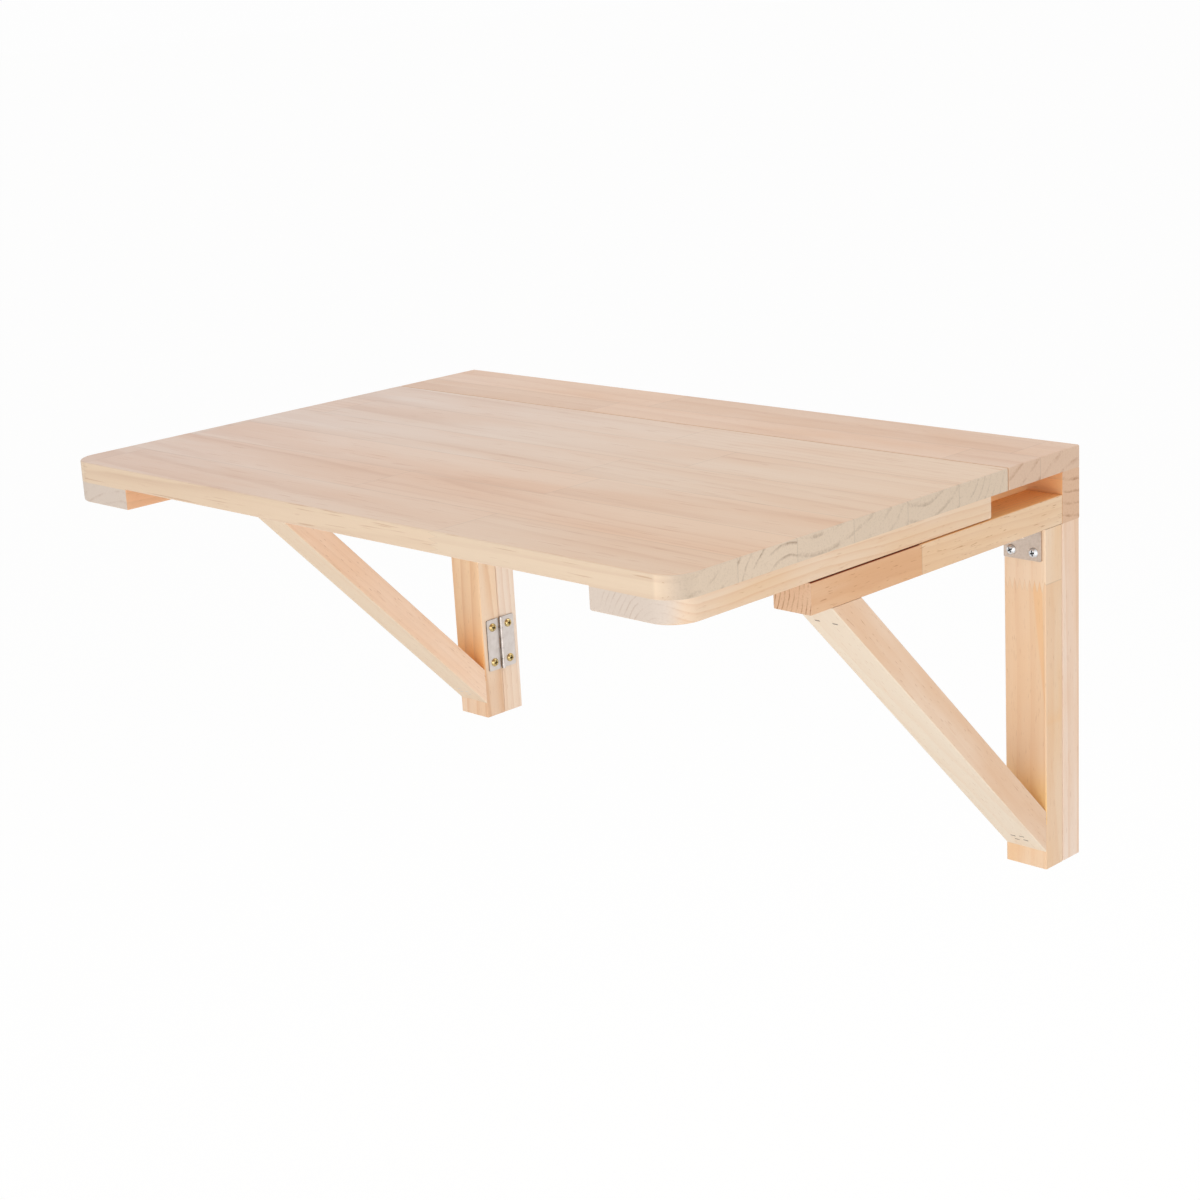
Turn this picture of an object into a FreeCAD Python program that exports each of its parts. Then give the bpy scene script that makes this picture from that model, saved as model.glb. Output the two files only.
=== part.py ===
import FreeCAD, Part

import math
import os

# Wall mounted drop leaf table of pine: a fixed strip on a wall frame, a hinged leaf on two folding brackets.
# Millimetres. X runs along the wall, Y points into the wall, Z is up.
# The origin is the middle of the wall rail's back face.

Vec = FreeCAD.Vector

# Overall sizes of the top
TABLE_WIDTH = 600.0
TABLE_DEPTH = 400.0
BOARD_THICK = 15.0
STRIP_DEPTH = 81.0
SEAM_GAP = 1.0
CORNER_RADIUS = 20.0
BOARD_ROUND = 1.2
SEAM_ROUND = 0.4
UNDER_ROUND = 1.5

# Stock of the wall frame and the brackets
POST_WIDE = 33.0
STOCK_THIN = 20.0
STOCK_ROUND = 0.9
UPRIGHT_LENGTH = 242.0
ARM_WIDE = 29.5
ARM_FRONT = 283.0
UPRIGHT_GAP = 0.4
BRACE_FOOT = 13.0
BRACE_REACH = 224.0
BRACE_THICK = 21.0

# Battens under the leaf
BATTEN_WIDE = 68.0
BATTEN_THICK = 14.8
BATTEN_REAR = 101.0
ARM_GAP = 0.6

# Steel corner plates
PLATE_WIDE = 30.0
PLATE_LEG = 22.0
PLATE_THICK = 1.5
PLATE_BEND = 1.0
PLATE_CORNER = 1.0
PLATE_INSET = 0.8
PLATE_SCREW_EDGE = 6.1
PLATE_SCREW_DROP = 16.4

# Butt hinges, one kind for the brackets and the leaf
HINGE_LENGTH = 45.0
HINGE_LEAF_REACH = 15.5
HINGE_LEAF_THICK = 1.0
HINGE_LEAF_CORNER = 1.5
KNUCKLE_RADIUS = 1.65
KNUCKLE_COUNT = 5
KNUCKLE_END_GAP = 0.1
KNUCKLE_SIDE_GAP = 0.7
KNUCKLE_WOOD_GAP = 0.3
PIN_RADIUS = 0.75
PIN_RUN_GAP = 0.05
PIN_FIT_GAP = 0.01
PIN_HEAD_RADIUS = 1.3
PIN_HEAD_THICK = 0.7
HINGE_SCREW_OUT = 9.0
HINGE_SCREW_END = 7.0
BRACKET_HINGE_FOOT = 40.0

# Screws, dowels and brads
SCREW_HEAD_RADIUS = 3.6
SCREW_HEAD_THICK = 2.1
SCREW_SHANK_RADIUS = 1.6
SCREW_TIP = 3.0
SCREW_TIP_RADIUS = 0.2
SCREW_HOLE_GAP = 0.05
PLATE_HOLE_GAP = 0.2
CROSS_LONG = 4.2
CROSS_WIDE = 0.9
CROSS_DEEP = 1.3
PLATE_SCREW_LENGTH = 16.0
HINGE_SCREW_LENGTH = 12.0
BOARD_SCREW_LENGTH = 34.0
BOARD_SCREW_SINK = 12.0
BOARD_SCREW_COUNT = 4
BOARD_SCREW_INSET = 25.0
BATTEN_SCREW_LENGTH = 22.0
BATTEN_SCREW_SINK = 3.0
BATTEN_SCREW_COUNT = 3
BATTEN_SCREW_END = 40.0
SINK_GAP = 0.8
DOWEL_RADIUS = 3.0
DOWEL_LENGTH = 30.0
DOWEL_SIDE = 8.0
ARM_DOWEL_UP = 12.0
ARM_DOWEL_DOWN = 18.0
DOWEL_HOLE_GAP = 0.05
BRAD_WIDE = 4.0
BRAD_THICK = 0.9
BRAD_BITE = 10.0
BRAD_FOOT_LOW = 20.0
BRAD_FOOT_PITCH = 3.6
BRAD_TOP_BACK = 14.0
BRAD_TOP_SIDE = 7.0
BRAD_FOOT_SIDE = 2.5
BRAD_FOOT_APART = 8.0
BRAD_FOOT_SKEW = 1.0

# Holes for the wall screws
WALL_HOLE_RADIUS = 2.75
WALL_SINK_RADIUS = 5.5
WALL_SINK_DEPTH = 6.0
RAIL_HOLE_INSET = 67.0
UPRIGHT_HOLE_UP = 20.0

# How far a cutting shape runs past the face that it cuts
OVERCUT = 1.0

# Levels and places that follow from the sizes
HALF = TABLE_WIDTH / 2
RAIL_HEIGHT = STOCK_THIN + ARM_GAP + BATTEN_THICK
RAIL_LOW = -RAIL_HEIGHT / 2
BOARD_LOW = RAIL_HEIGHT / 2
BOARD_TOP = BOARD_LOW + BOARD_THICK
UPRIGHT_LOW = RAIL_LOW - UPRIGHT_LENGTH
ARM_LOW = RAIL_LOW
ARM_TOP = ARM_LOW + STOCK_THIN
BATTEN_LOW = BOARD_LOW - BATTEN_THICK
LEAF_REAR = -STRIP_DEPTH - SEAM_GAP
LEAF_FRONT = -TABLE_DEPTH
INNER_FACE = HALF - POST_WIDE
MIDDLE_X = HALF - POST_WIDE / 2
BOARD_SCREW_FAR = INNER_FACE - BOARD_SCREW_INSET
RAIL_HOLE_SIDE = INNER_FACE - RAIL_HOLE_INSET
LEAF_HINGE_SIDE = HALF / 2
BRACKET_REAR = -STOCK_THIN - UPRIGHT_GAP
BRACKET_FRONT = BRACKET_REAR - STOCK_THIN
KNUCKLE_BACK = KNUCKLE_RADIUS + KNUCKLE_WOOD_GAP
KNUCKLE_LENGTH = HINGE_LENGTH / KNUCKLE_COUNT
BRACKET_PIN_X = INNER_FACE - KNUCKLE_BACK
BRACKET_PIN_Y = -STOCK_THIN - UPRIGHT_GAP / 2
LEAF_PIN_Y = -STRIP_DEPTH - SEAM_GAP / 2
LEAF_PIN_Z = BOARD_LOW - KNUCKLE_BACK
LOW_HINGE_Z = UPRIGHT_LOW + BRACKET_HINGE_FOOT + HINGE_LENGTH / 2
HIGH_HINGE_Z = RAIL_LOW - BRACKET_HINGE_FOOT - HINGE_LENGTH / 2
FOOT_Z = UPRIGHT_LOW + BRACE_FOOT
BRACE_RISE = ARM_LOW - FOOT_Z
BRACE_LENGTH = math.hypot(BRACE_REACH, BRACE_RISE)
BRACE_FOOT_TALL = BRACE_THICK * BRACE_LENGTH / BRACE_REACH
BRACE_TOP_LONG = BRACE_THICK * BRACE_LENGTH / BRACE_RISE
LARGE = 1000.0


def box(x0, x1, y0, y1, z0, z1):
    """A box between two limits on each axis."""
    low = Vec(min(x0, x1), min(y0, y1), min(z0, z1))
    return Part.makeBox(abs(x1 - x0), abs(y1 - y0), abs(z1 - z0), low)


def rod(radius, start, end):
    """A cylinder from one point to another."""
    along = end.sub(start)
    return Part.makeCylinder(radius, along.Length, start, along)


def mirrored(shape):
    """The same piece on the left side of the table."""
    return shape.mirror(Vec(0, 0, 0), Vec(1, 0, 0))


def long_edges(shape, direction):
    """The straight edges of a shape that run along a direction."""
    found = []
    for edge in shape.Edges:
        if len(edge.Vertexes) == 2:
            along = edge.Vertexes[1].Point.sub(edge.Vertexes[0].Point)
            if along.Length > 0 and along.normalize().cross(direction).Length < 1e-6:
                found.append(edge)
    return found


def eased(shape, direction, radius=STOCK_ROUND):
    """A bar with its long edges rounded over."""
    return shape.makeFillet(radius, long_edges(shape, direction))


def edges_at(shape, keep):
    """The edges of a shape whose middle point passes a test."""
    return [edge for edge in shape.Edges if keep(edge.CenterOfMass)]


def placed(shape, point, direction):
    """A shape made along Z, turned to a direction and moved to a point."""
    turned = shape.copy()
    turned.Placement = FreeCAD.Placement(point, FreeCAD.Rotation(Vec(0, 0, 1), direction))
    return turned


def pan_screw(length):
    """A cross head screw: its seat is at zero, the head above, the shank below."""
    head = Part.makeCylinder(SCREW_HEAD_RADIUS, SCREW_HEAD_THICK)
    rim = edges_at(head, lambda p: abs(p.z - SCREW_HEAD_THICK) < 1e-6)
    head = head.makeFillet(SCREW_HEAD_THICK * 0.6, rim)
    low = SCREW_HEAD_THICK - CROSS_DEEP
    for long, wide in ((CROSS_LONG, CROSS_WIDE), (CROSS_WIDE, CROSS_LONG)):
        head = head.cut(box(-long / 2, long / 2, -wide / 2, wide / 2, low, SCREW_HEAD_THICK + OVERCUT))
    shank = Part.makeCylinder(SCREW_SHANK_RADIUS, length - SCREW_TIP, Vec(0, 0, SCREW_TIP - length))
    tip = Part.makeCone(SCREW_TIP_RADIUS, SCREW_SHANK_RADIUS, SCREW_TIP, Vec(0, 0, -length))
    return head.fuse([shank, tip]).removeSplitter()


def pilot(length, point, direction, gap=SCREW_HOLE_GAP):
    """The hole that a screw needs below its seat."""
    start = point.add(Vec(direction).multiply(OVERCUT / 2))
    end = point.sub(Vec(direction).multiply(length + OVERCUT / 2))
    return rod(SCREW_SHANK_RADIUS + gap, start, end)


def sink(depth, point, direction):
    """The round pocket that lets a screw head in below a face."""
    end = point.add(Vec(direction).multiply(depth + OVERCUT))
    return rod(SCREW_HEAD_RADIUS + SINK_GAP, point, end)


class Screws:
    """Equal screws of one node, with the holes that they need."""

    def __init__(self, length, direction, points):
        self.length = length
        self.direction = direction
        self.points = points

    def solids(self):
        """The screws as one group of separate solids."""
        master = pan_screw(self.length)
        return Part.makeCompound([placed(master, p, self.direction) for p in self.points])

    def holes(self):
        """The pilot holes in the wood."""
        return [pilot(self.length, p, self.direction) for p in self.points]

    def free_holes(self):
        """The wider holes in a plate under the heads."""
        return [pilot(self.length, p, self.direction, PLATE_HOLE_GAP) for p in self.points]

    def sinks(self, depth):
        """The pockets for the heads."""
        return [sink(depth, p, self.direction) for p in self.points]


class Hinge:
    """A butt hinge: the fixed leaf along +x, the wood behind it at -y, the pin along z."""

    def __init__(self, centre, x_axis, y_axis):
        z_axis = x_axis.cross(y_axis)
        matrix = FreeCAD.Matrix(
            x_axis.x, y_axis.x, z_axis.x, centre.x,
            x_axis.y, y_axis.y, z_axis.y, centre.y,
            x_axis.z, y_axis.z, z_axis.z, centre.z,
        )
        self.placement = FreeCAD.Placement(matrix)
        self.out = y_axis

    def set(self, shape):
        """A local shape at the hinge's place."""
        moved = shape.copy()
        moved.Placement = self.placement
        return moved

    def screw_points(self, side):
        """Where the screw heads of one leaf sit on it; side is 1 for the fixed leaf and -1 for the other."""
        up = HINGE_LENGTH / 2 - HINGE_SCREW_END
        seat = HINGE_LEAF_THICK - KNUCKLE_BACK
        return [self.placement.multVec(Vec(side * HINGE_SCREW_OUT, seat, z)) for z in (-up, up)]

    def leaf(self, side, screws):
        """One leaf with its knuckles, the notches for the other leaf's knuckles and the screw holes."""
        half = HINGE_LENGTH / 2
        own = 0 if side > 0 else 1
        plate = box(0, side * HINGE_LEAF_REACH, -KNUCKLE_BACK, HINGE_LEAF_THICK - KNUCKLE_BACK, -half, half)
        far = edges_at(plate, lambda p: abs(abs(p.x) - HINGE_LEAF_REACH) < 1e-6 and abs(abs(p.z) - half) < 1e-6)
        plate = plate.makeFillet(HINGE_LEAF_CORNER, far)
        bore = PIN_RADIUS + (PIN_FIT_GAP if side > 0 else PIN_RUN_GAP)
        for index in range(KNUCKLE_COUNT):
            low = -half + index * KNUCKLE_LENGTH
            high = low + KNUCKLE_LENGTH
            if index % 2 == own:
                start = low + (KNUCKLE_END_GAP if index > 0 else 0)
                end = high - (KNUCKLE_END_GAP if index < KNUCKLE_COUNT - 1 else 0)
                plate = plate.fuse(rod(KNUCKLE_RADIUS, Vec(0, 0, start), Vec(0, 0, end)))
            else:
                reach = KNUCKLE_RADIUS + KNUCKLE_SIDE_GAP
                start = low - KNUCKLE_END_GAP
                end = high + KNUCKLE_END_GAP
                notch = box(-side * OVERCUT, side * reach, -LARGE, LARGE, start, end)
                plate = plate.cut(notch)
        plate = plate.cut(rod(bore, Vec(0, 0, -half - OVERCUT), Vec(0, 0, half + OVERCUT)))
        return self.set(plate.removeSplitter()).cut(screws.free_holes())

    def pin(self):
        """The pin, with a small head that sits on the last knuckle."""
        half = HINGE_LENGTH / 2
        shaft = rod(PIN_RADIUS, Vec(0, 0, -half), Vec(0, 0, half))
        head = rod(PIN_HEAD_RADIUS, Vec(0, 0, half), Vec(0, 0, half + PIN_HEAD_THICK))
        return self.set(shaft.fuse(head).removeSplitter())


def board_outline(rear, front, half):
    """The plan of the leaf: square behind, with round front corners."""
    r = CORNER_RADIUS
    s = r * math.sqrt(0.5)
    points = [Vec(half, rear, 0), Vec(half, front + r, 0), Vec(half - r, front, 0)]
    points += [Vec(r - half, front, 0), Vec(-half, front + r, 0), Vec(-half, rear, 0)]
    right = Part.Arc(points[1], Vec(half - r + s, front + r - s, 0), points[2]).toShape()
    left = Part.Arc(points[3], Vec(r - s - half, front + r - s, 0), points[4]).toShape()
    lines = [Part.makeLine(points[i], points[j]) for i, j in ((0, 1), (2, 3), (4, 5), (5, 0))]
    return Part.Wire([lines[0], right, lines[1], left, lines[2], lines[3]])


def leaf_board(low, high):
    """The leaf's plan as a block between two levels."""
    face = Part.Face(board_outline(LEAF_REAR, LEAF_FRONT, HALF))
    face.translate(Vec(0, 0, low))
    return face.extrude(Vec(0, 0, high - low))


def strip_board():
    """The fixed strip along the wall, its ends and its seam edge eased."""
    strip = box(-HALF, HALF, -STRIP_DEPTH, 0, BOARD_LOW, BOARD_TOP)
    ends = edges_at(strip, lambda p: abs(abs(p.x) - HALF) < 1e-6 and abs(p.z - BOARD_TOP) < 1e-6)
    strip = strip.makeFillet(BOARD_ROUND, ends)
    seam = edges_at(strip, lambda p: abs(p.y + STRIP_DEPTH) < 1e-6 and abs(p.z - BOARD_TOP) < 1e-6)
    return strip.makeFillet(SEAM_ROUND, [e for e in seam if e.Length > HALF])


def leaf_panel():
    """The drop leaf, its upper edge rounded over and its lower front edge eased between the battens."""
    panel = leaf_board(BOARD_LOW, BOARD_TOP)
    rim = edges_at(panel, lambda p: abs(p.z - BOARD_TOP) < 1e-6 and p.y < LEAF_REAR - OVERCUT)
    panel = panel.makeFillet(BOARD_ROUND, rim)
    seam = edges_at(panel, lambda p: abs(p.y - LEAF_REAR) < 1e-6 and abs(p.z - BOARD_TOP) < 1e-6)
    panel = panel.makeFillet(SEAM_ROUND, [e for e in seam if e.Length > HALF])
    end = HALF - BATTEN_WIDE
    y = LEAF_FRONT + UNDER_ROUND
    z = BOARD_LOW + UNDER_ROUND
    corner = box(-end, end, LEAF_FRONT - OVERCUT, y, BOARD_LOW - OVERCUT, z)
    return panel.cut(corner.cut(rod(UNDER_ROUND, Vec(-end, y, z), Vec(end, y, z))))


def right_batten():
    """The batten under the leaf's right end, flush with the leaf's edge."""
    blank = box(HALF - BATTEN_WIDE, HALF, LEAF_FRONT, -BATTEN_REAR, BATTEN_LOW, BOARD_LOW)
    batten = leaf_board(BATTEN_LOW, BOARD_LOW).common(blank)
    rim = edges_at(batten, lambda p: abs(p.z - BATTEN_LOW) < 1e-6 and p.y < -BATTEN_REAR - OVERCUT)
    return batten.makeFillet(UNDER_ROUND, rim)


def wall_holes(point):
    """A hole for a wall screw through a piece of the frame, with a pocket for its head in front."""
    front = Vec(point.x, -STOCK_THIN, point.z)
    past = front.sub(Vec(0, OVERCUT, 0))
    hole = rod(WALL_HOLE_RADIUS, Vec(point.x, OVERCUT, point.z), past)
    pocket = rod(WALL_SINK_RADIUS, front.add(Vec(0, WALL_SINK_DEPTH, 0)), past)
    return [hole, pocket]


def right_brace():
    """The diagonal brace between the bracket's upright and its arm."""
    toe = Vec(INNER_FACE, BRACKET_FRONT, FOOT_Z)
    points = [toe, toe.add(Vec(0, 0, BRACE_FOOT_TALL))]
    points += [Vec(INNER_FACE, BRACKET_FRONT - BRACE_REACH + BRACE_TOP_LONG, ARM_LOW)]
    points += [Vec(INNER_FACE, BRACKET_FRONT - BRACE_REACH, ARM_LOW), toe]
    bar = Part.Face(Part.makePolygon(points)).extrude(Vec(POST_WIDE, 0, 0))
    return eased(bar, Vec(0, -BRACE_REACH, BRACE_RISE).normalize())


def right_corner_plate():
    """The bent steel plate in the corner under the arm."""
    x0 = INNER_FACE + PLATE_INSET
    x1 = x0 + PLATE_WIDE
    front = BRACKET_FRONT - PLATE_THICK
    under = ARM_LOW - PLATE_THICK
    upright = box(x0, x1, front, BRACKET_FRONT, ARM_LOW - PLATE_LEG, ARM_LOW)
    flat = box(x0, x1, BRACKET_FRONT - PLATE_LEG, BRACKET_FRONT, under, ARM_LOW)
    plate = upright.fuse(flat).removeSplitter()
    bend = edges_at(plate, lambda p: abs(p.y - front) < 1e-6 and abs(p.z - under) < 1e-6)
    plate = plate.makeFillet(PLATE_BEND, bend)
    middle_y = BRACKET_FRONT - PLATE_THICK / 2
    middle_z = ARM_LOW - PLATE_THICK / 2
    low = edges_at(plate, lambda p: abs(p.y - middle_y) < 1e-3 and abs(p.z - ARM_LOW + PLATE_LEG) < 1e-3)
    ends = edges_at(plate, lambda p: abs(p.z - middle_z) < 1e-3 and abs(p.y - BRACKET_FRONT + PLATE_LEG) < 1e-3)
    return plate.makeFillet(PLATE_CORNER, low + ends)


def right_brads():
    """Flat brads: two pairs through the brace's foot into the upright, two through its top into the arm."""
    brads = []
    half = BRAD_WIDE / 2
    slope = BRACE_REACH / BRACE_RISE
    near = MIDDLE_X - BRAD_FOOT_SIDE
    far = near + BRAD_FOOT_APART
    places = [(near, 0), (near - BRAD_FOOT_SKEW, 1), (far, 0.4), (far - BRAD_FOOT_SKEW, 1.4)]
    for x, step in places:
        z = UPRIGHT_LOW + BRAD_FOOT_LOW + step * BRAD_FOOT_PITCH
        low = BRACKET_FRONT - (z - FOOT_Z) * slope - BRAD_THICK
        brads.append(box(x - half, x + half, low, BRACKET_FRONT + BRAD_BITE, z, z + BRAD_THICK))
    y = BRACKET_FRONT - BRACE_REACH + BRAD_TOP_BACK
    for x in (MIDDLE_X - BRAD_TOP_SIDE, MIDDLE_X + BRAD_TOP_SIDE):
        z = ARM_LOW - BRAD_TOP_BACK / slope - BRAD_THICK * 2
        brads.append(box(x - half, x + half, y, y + BRAD_THICK, z, ARM_LOW + BRAD_BITE))
    toe = Vec(0, BRACKET_FRONT, FOOT_Z)
    outside = [toe, toe.add(Vec(0, -BRACE_REACH, BRACE_RISE)), toe.add(Vec(0, -BRACE_REACH, -LARGE))]
    outside += [toe.add(Vec(0, 0, -LARGE)), toe]
    below = Part.Face(Part.makePolygon(outside)).extrude(Vec(HALF, 0, 0))
    return [brad.cut(below) for brad in brads]


def bracket_hinge(level):
    """A hinge between the right bracket and the right wall upright."""
    return Hinge(Vec(BRACKET_PIN_X, BRACKET_PIN_Y, level), Vec(0, 1, 0), Vec(-1, 0, 0))


def leaf_hinge(x):
    """A hinge between the fixed strip and the leaf, under the seam."""
    return Hinge(Vec(x, LEAF_PIN_Y, LEAF_PIN_Z), Vec(0, 1, 0), Vec(0, 0, -1))


def hinge_screws(hinges, side):
    """The screws of one leaf of every hinge given."""
    points = [p for hinge in hinges for p in hinge.screw_points(side)]
    return Screws(HINGE_SCREW_LENGTH, hinges[0].out, points)


def both_sides(nodes, name, shape):
    """Add a piece of the right side and its mirror image on the left."""
    nodes["right_" + name] = shape
    nodes["left_" + name] = mirrored(shape)


def right_bracket(nodes, hinges):
    """The folding bracket: upright, arm, brace, corner plate and their fasteners, and the wall upright."""
    fixed_screws = hinge_screws(list(hinges.values()), 1)
    swing_screws = hinge_screws(list(hinges.values()), -1)
    plate_low = INNER_FACE + PLATE_INSET + PLATE_SCREW_EDGE
    plate_xs = (plate_low, plate_low + PLATE_WIDE - 2 * PLATE_SCREW_EDGE)
    front = BRACKET_FRONT - PLATE_THICK
    into_upright = [Vec(x, front, ARM_LOW - PLATE_SCREW_DROP) for x in plate_xs]
    into_arm = [Vec(x, BRACKET_FRONT - PLATE_SCREW_DROP, ARM_LOW - PLATE_THICK) for x in plate_xs]
    upright_screws = Screws(PLATE_SCREW_LENGTH, Vec(0, -1, 0), into_upright)
    under_screws = Screws(PLATE_SCREW_LENGTH, Vec(0, 0, -1), into_arm)
    middle = BRACKET_REAR - STOCK_THIN / 2
    peg_low = Vec(MIDDLE_X, middle, ARM_LOW - ARM_DOWEL_DOWN)
    peg_high = Vec(MIDDLE_X, middle, ARM_LOW + ARM_DOWEL_UP)
    socket = rod(DOWEL_RADIUS + DOWEL_HOLE_GAP, peg_low, peg_high)
    brads = right_brads()

    upright = box(INNER_FACE, HALF, BRACKET_FRONT, BRACKET_REAR, UPRIGHT_LOW, ARM_LOW)
    upright = eased(upright, Vec(0, 0, 1))
    cuts = upright_screws.holes() + swing_screws.holes() + [socket] + brads
    both_sides(nodes, "bracket_upright", upright.cut(cuts))
    arm = eased(box(HALF - ARM_WIDE, HALF, -ARM_FRONT, BRACKET_REAR, ARM_LOW, ARM_TOP), Vec(0, 1, 0))
    cuts = under_screws.holes() + [socket] + brads
    both_sides(nodes, "bracket_arm", arm.cut(cuts))
    both_sides(nodes, "bracket_brace", right_brace().cut(brads))
    both_sides(nodes, "brace_brads", Part.makeCompound(brads))
    plate_cuts = upright_screws.free_holes() + under_screws.free_holes()
    both_sides(nodes, "corner_plate", right_corner_plate().cut(plate_cuts))
    plate_screws = [upright_screws.solids(), under_screws.solids()]
    both_sides(nodes, "corner_plate_screws", Part.makeCompound(plate_screws))
    both_sides(nodes, "arm_dowel", rod(DOWEL_RADIUS, peg_low, peg_high))
    both_sides(nodes, "bracket_leaf_screws", swing_screws.solids())
    both_sides(nodes, "wall_leaf_screws", fixed_screws.solids())
    for level, hinge in hinges.items():
        both_sides(nodes, level + "_hinge_bracket_leaf", hinge.leaf(-1, swing_screws))
        both_sides(nodes, level + "_hinge_wall_leaf", hinge.leaf(1, fixed_screws))
        both_sides(nodes, level + "_hinge_pin", hinge.pin())
    return fixed_screws


def wall_frame(nodes, fixed_screws, strip_screws):
    """The rail, the two wall uprights and the fixed strip, with the fasteners between them."""
    pitch = 2 * BOARD_SCREW_FAR / (BOARD_SCREW_COUNT - 1)
    places = [i * pitch - BOARD_SCREW_FAR for i in range(BOARD_SCREW_COUNT)]
    middle = -STOCK_THIN / 2
    seats = [Vec(x, middle, RAIL_LOW + BOARD_SCREW_SINK) for x in places]
    board_screws = Screws(BOARD_SCREW_LENGTH, Vec(0, 0, -1), seats)
    dowel_xs = (MIDDLE_X - DOWEL_SIDE, MIDDLE_X + DOWEL_SIDE)
    low = RAIL_LOW - DOWEL_LENGTH / 2
    high = RAIL_LOW + DOWEL_LENGTH / 2
    dowels = [rod(DOWEL_RADIUS, Vec(x, middle, low), Vec(x, middle, high)) for x in dowel_xs]
    wide = DOWEL_RADIUS + DOWEL_HOLE_GAP
    sockets = [rod(wide, Vec(x, middle, low), Vec(x, middle, high)) for x in dowel_xs]
    pair = Part.makeCompound(dowels)
    nodes["upright_dowels"] = Part.makeCompound([pair, mirrored(pair)])

    rail = eased(box(-HALF, HALF, -STOCK_THIN, 0, RAIL_LOW, BOARD_LOW), Vec(1, 0, 0))
    cuts = sockets + [mirrored(s) for s in sockets]
    cuts += board_screws.holes() + board_screws.sinks(BOARD_SCREW_SINK)
    for side in (-1, 1):
        cuts += wall_holes(Vec(side * RAIL_HOLE_SIDE, 0, 0))
    nodes["wall_rail"] = rail.cut(cuts)
    upright = eased(box(INNER_FACE, HALF, -STOCK_THIN, 0, UPRIGHT_LOW, RAIL_LOW), Vec(0, 0, 1))
    cuts = sockets + fixed_screws.holes() + wall_holes(Vec(MIDDLE_X, 0, UPRIGHT_LOW + UPRIGHT_HOLE_UP))
    both_sides(nodes, "wall_upright", upright.cut(cuts))
    nodes["top_strip"] = strip_board().cut(board_screws.holes() + strip_screws.holes())
    nodes["strip_screws"] = board_screws.solids()


def drop_leaf(nodes, hinges, drop_screws):
    """The leaf with its battens and their screws."""
    first = LEAF_FRONT + BATTEN_SCREW_END
    step = (-BATTEN_REAR - BATTEN_SCREW_END - first) / (BATTEN_SCREW_COUNT - 1)
    x = HALF - BATTEN_WIDE / 2
    seat = BATTEN_LOW + BATTEN_SCREW_SINK
    points = [Vec(x, first + i * step, seat) for i in range(BATTEN_SCREW_COUNT)]
    batten_screws = Screws(BATTEN_SCREW_LENGTH, Vec(0, 0, -1), points)
    holes = batten_screws.holes()
    both_sides(nodes, "leaf_batten", right_batten().cut(holes + batten_screws.sinks(BATTEN_SCREW_SINK)))
    cuts = holes + [mirrored(h) for h in holes] + drop_screws.holes()
    nodes["leaf_panel"] = leaf_panel().cut(cuts)
    right = batten_screws.solids()
    nodes["batten_screws"] = Part.makeCompound([right, mirrored(right)])


def build():
    """Every piece of the table, by name."""
    nodes = {}
    levels = {"upper": HIGH_HINGE_Z, "lower": LOW_HINGE_Z}
    brackets = {name: bracket_hinge(level) for name, level in levels.items()}
    leaves = {"right": leaf_hinge(LEAF_HINGE_SIDE), "left": leaf_hinge(-LEAF_HINGE_SIDE)}
    strip_screws = hinge_screws(list(leaves.values()), 1)
    drop_screws = hinge_screws(list(leaves.values()), -1)
    fixed_screws = right_bracket(nodes, brackets)
    wall_frame(nodes, fixed_screws, strip_screws)
    drop_leaf(nodes, leaves, drop_screws)
    nodes["strip_hinge_screws"] = strip_screws.solids()
    nodes["leaf_hinge_screws"] = drop_screws.solids()
    for side, hinge in leaves.items():
        nodes[side + "_leaf_hinge_strip_leaf"] = hinge.leaf(1, strip_screws)
        nodes[side + "_leaf_hinge_drop_leaf"] = hinge.leaf(-1, drop_screws)
        nodes[side + "_leaf_hinge_pin"] = hinge.pin()
    return nodes


os.makedirs("parts", exist_ok=True)
for name, shape in build().items():
    shape.exportStep("parts/" + name + ".step")
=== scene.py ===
"""Wall mounted drop leaf table in pine: finishes, screws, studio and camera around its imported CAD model."""

import logging
import math
from dataclasses import dataclass, field, replace
from enum import Enum
from functools import partial
from typing import Any, Iterable

import bpy
import numpy as np
from mathutils import Matrix, Vector


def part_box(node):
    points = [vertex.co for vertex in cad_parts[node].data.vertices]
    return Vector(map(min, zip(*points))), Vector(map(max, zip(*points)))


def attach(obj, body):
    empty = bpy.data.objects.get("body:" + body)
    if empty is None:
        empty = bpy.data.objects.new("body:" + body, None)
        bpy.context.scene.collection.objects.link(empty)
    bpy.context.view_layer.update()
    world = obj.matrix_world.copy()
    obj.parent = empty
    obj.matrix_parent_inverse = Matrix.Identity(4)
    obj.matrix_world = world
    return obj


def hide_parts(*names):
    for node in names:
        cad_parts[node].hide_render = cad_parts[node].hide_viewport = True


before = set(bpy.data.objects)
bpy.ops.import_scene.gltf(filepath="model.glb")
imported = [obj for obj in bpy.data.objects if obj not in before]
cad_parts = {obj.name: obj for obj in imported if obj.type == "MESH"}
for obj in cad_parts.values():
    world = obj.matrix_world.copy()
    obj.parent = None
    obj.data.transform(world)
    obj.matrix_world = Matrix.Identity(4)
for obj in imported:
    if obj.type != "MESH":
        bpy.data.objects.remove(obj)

LOG = logging.getLogger("drop_leaf_table")
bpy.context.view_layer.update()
MM = 0.001
WHITE = (1.0, 1.0, 1.0, 1.0)
SMOOTH = "SMOOTHSTEP"

Socket = bpy.types.NodeSocket
Tree = bpy.types.ShaderNodeTree
Material = bpy.types.Material
Vec3 = tuple[float, float, float]
Span = tuple[float, float]


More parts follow.
